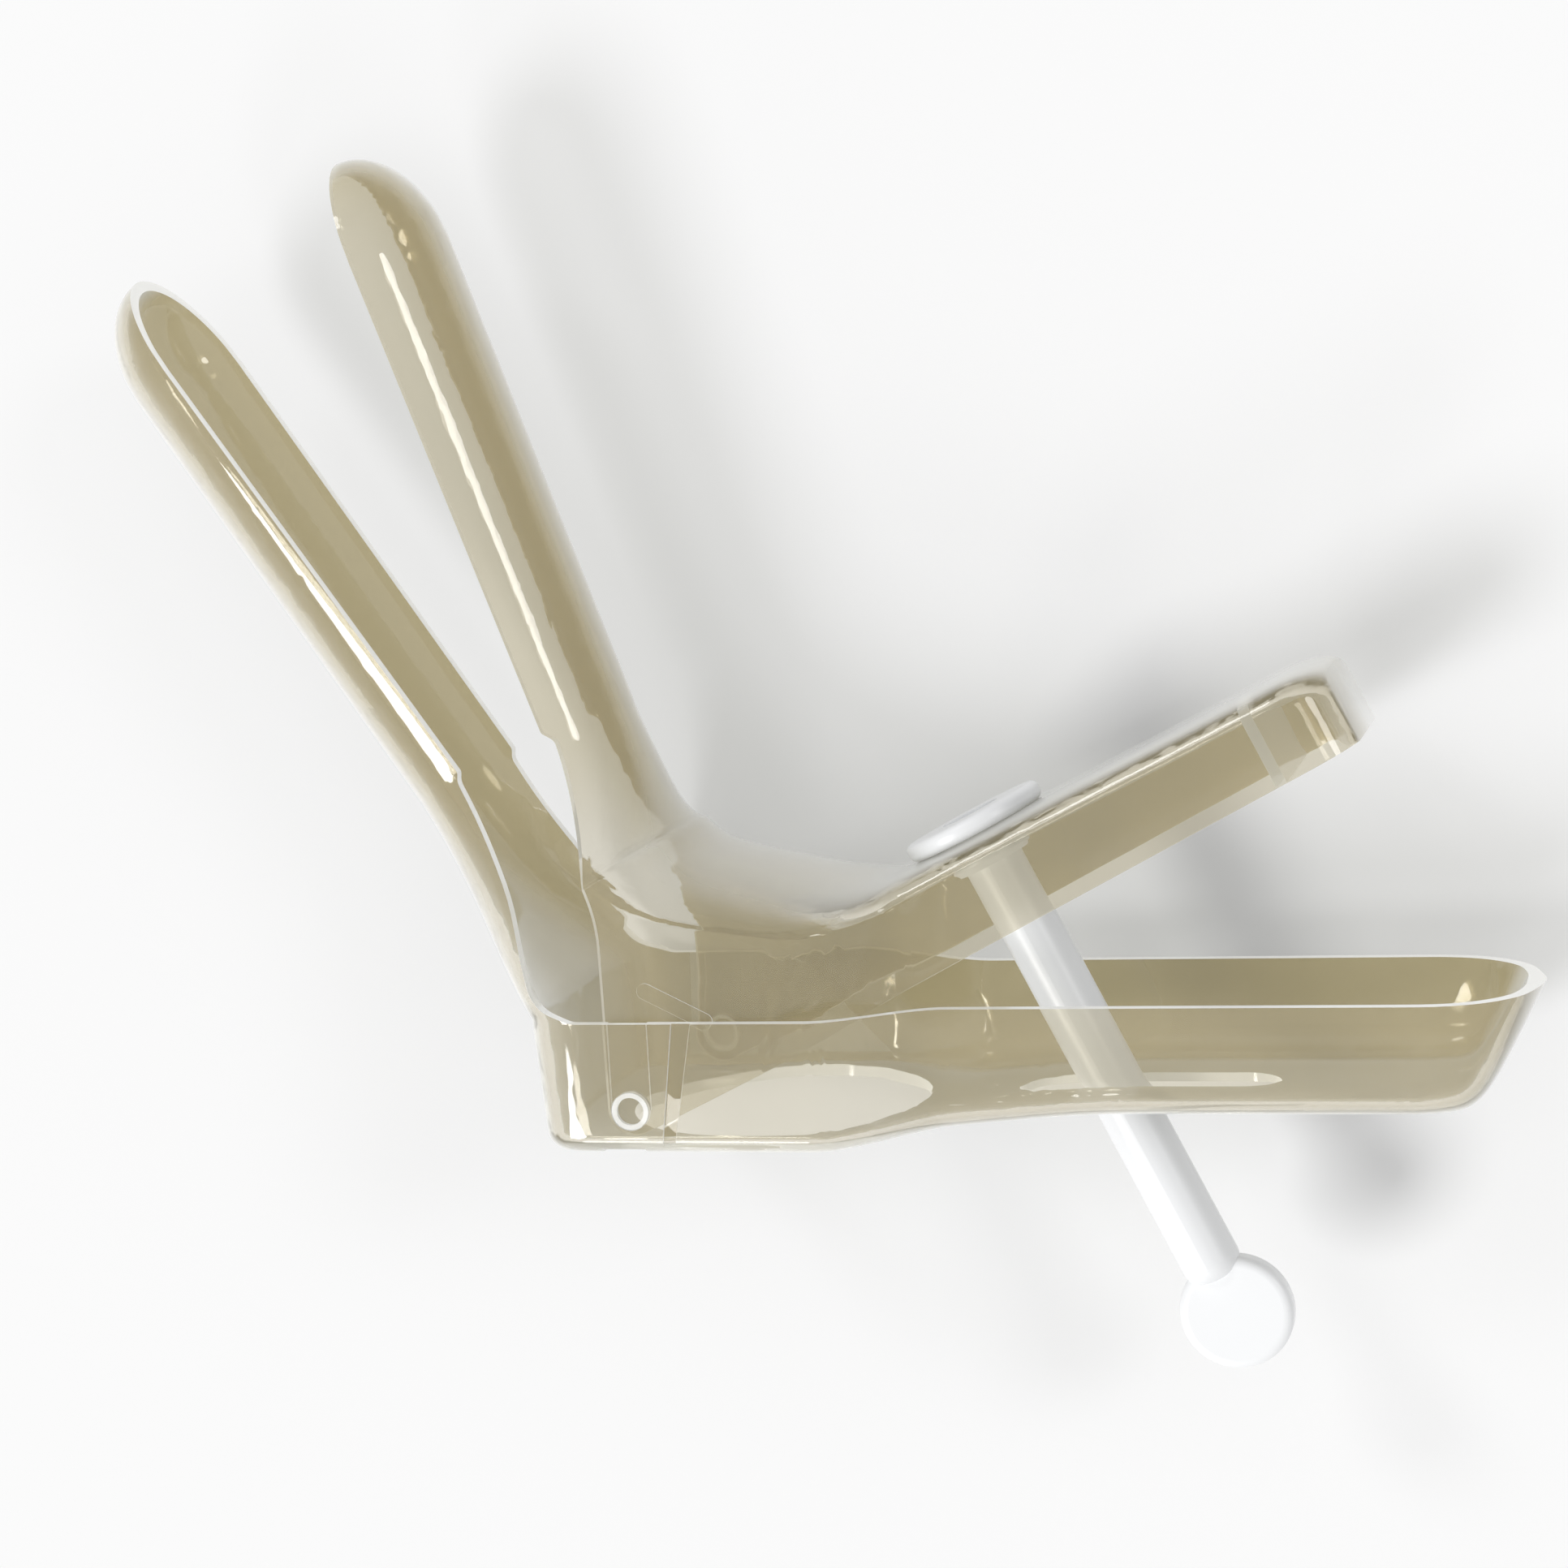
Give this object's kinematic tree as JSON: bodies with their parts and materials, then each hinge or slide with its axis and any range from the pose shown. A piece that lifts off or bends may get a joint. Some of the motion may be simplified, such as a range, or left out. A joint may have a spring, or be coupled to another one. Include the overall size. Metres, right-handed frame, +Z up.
{
  "type": "bivalve speculum",
  "caption": "Clear plastic bivalve vaginal speculum lying on its side, with two hinged blades and handles held apart by a white screw with a finger paddle and a flanged nut.",
  "frame": {"origin": "bottom centre of the bounding box of the speculum as it lies on its side", "axes": "+Z up and across the width of the instrument, +X along the lower handle away from the hinge, +Y from the handles towards the blades"},
  "size_m": [0.1773, 0.1548, 0.048],
  "materials": {
    "clear_polystyrene": "clear injection-moulded crystal polystyrene with a light tan tint, polished",
    "white_plastic": "opaque white injection-moulded plastic, glossy"
  },
  "bodies": {
    "lower_valve": {"lower_valve": "clear_polystyrene"},
    "upper_valve": {"upper_valve": "clear_polystyrene"},
    "nut": {"nut": "white_plastic"},
    "screw": {"screw": "white_plastic"}
  },
  "joints": [
    {"name": "valve_hinge", "type": "hinge", "parent": "lower_valve", "child": "upper_valve", "pos_m": [-0.01974, -0.03941, 0.024], "axis": [0, 0, 1], "range_deg": [-13, 14]},
    {"name": "nut_spin", "type": "hinge", "parent": "upper_valve", "child": "nut", "pos_m": [0.0244, -0.01789, 0.024], "axis": [-0.4384, 0.8988, 0], "range_deg": [0, 2881]},
    {"name": "screw_travel", "type": "slide", "parent": "upper_valve", "child": "screw", "axis": [-0.4384, 0.8988, 0], "range_m": [0, 0.024]}
  ],
  "couplings": [
    {"joint": "nut_spin", "follows": "screw_travel", "rad_per_m": 2094.4}
  ]
}
